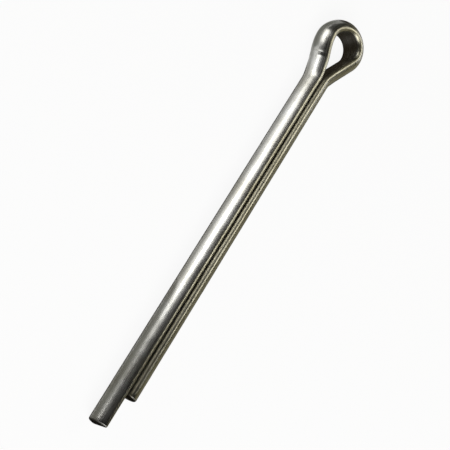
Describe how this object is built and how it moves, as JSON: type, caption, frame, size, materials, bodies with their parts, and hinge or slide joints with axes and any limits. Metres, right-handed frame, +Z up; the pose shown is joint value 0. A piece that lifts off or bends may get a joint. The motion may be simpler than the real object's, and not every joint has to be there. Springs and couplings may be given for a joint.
{
  "type": "cotter pin",
  "caption": "Split pin folded from half-round wire into a round eye and legs of unequal length that lie flat to flat; it goes through a cross hole and its legs are spread to lock it.",
  "frame": {"origin": "middle of the pin's outline, on the surface that it lies on", "axes": "+Y along the pin towards its eye, +Z up through the hole of the eye, the longer leg at -X"},
  "size_m": [0.0078, 0.065, 0.0034],
  "materials": {
    "zinc_steel": "zinc-plated drawn steel wire, satin and slightly warm, with fine lengthwise drawing lines"
  },
  "bodies": {
    "root": {"cotter_pin": "zinc_steel"}
  },
  "joints": []
}
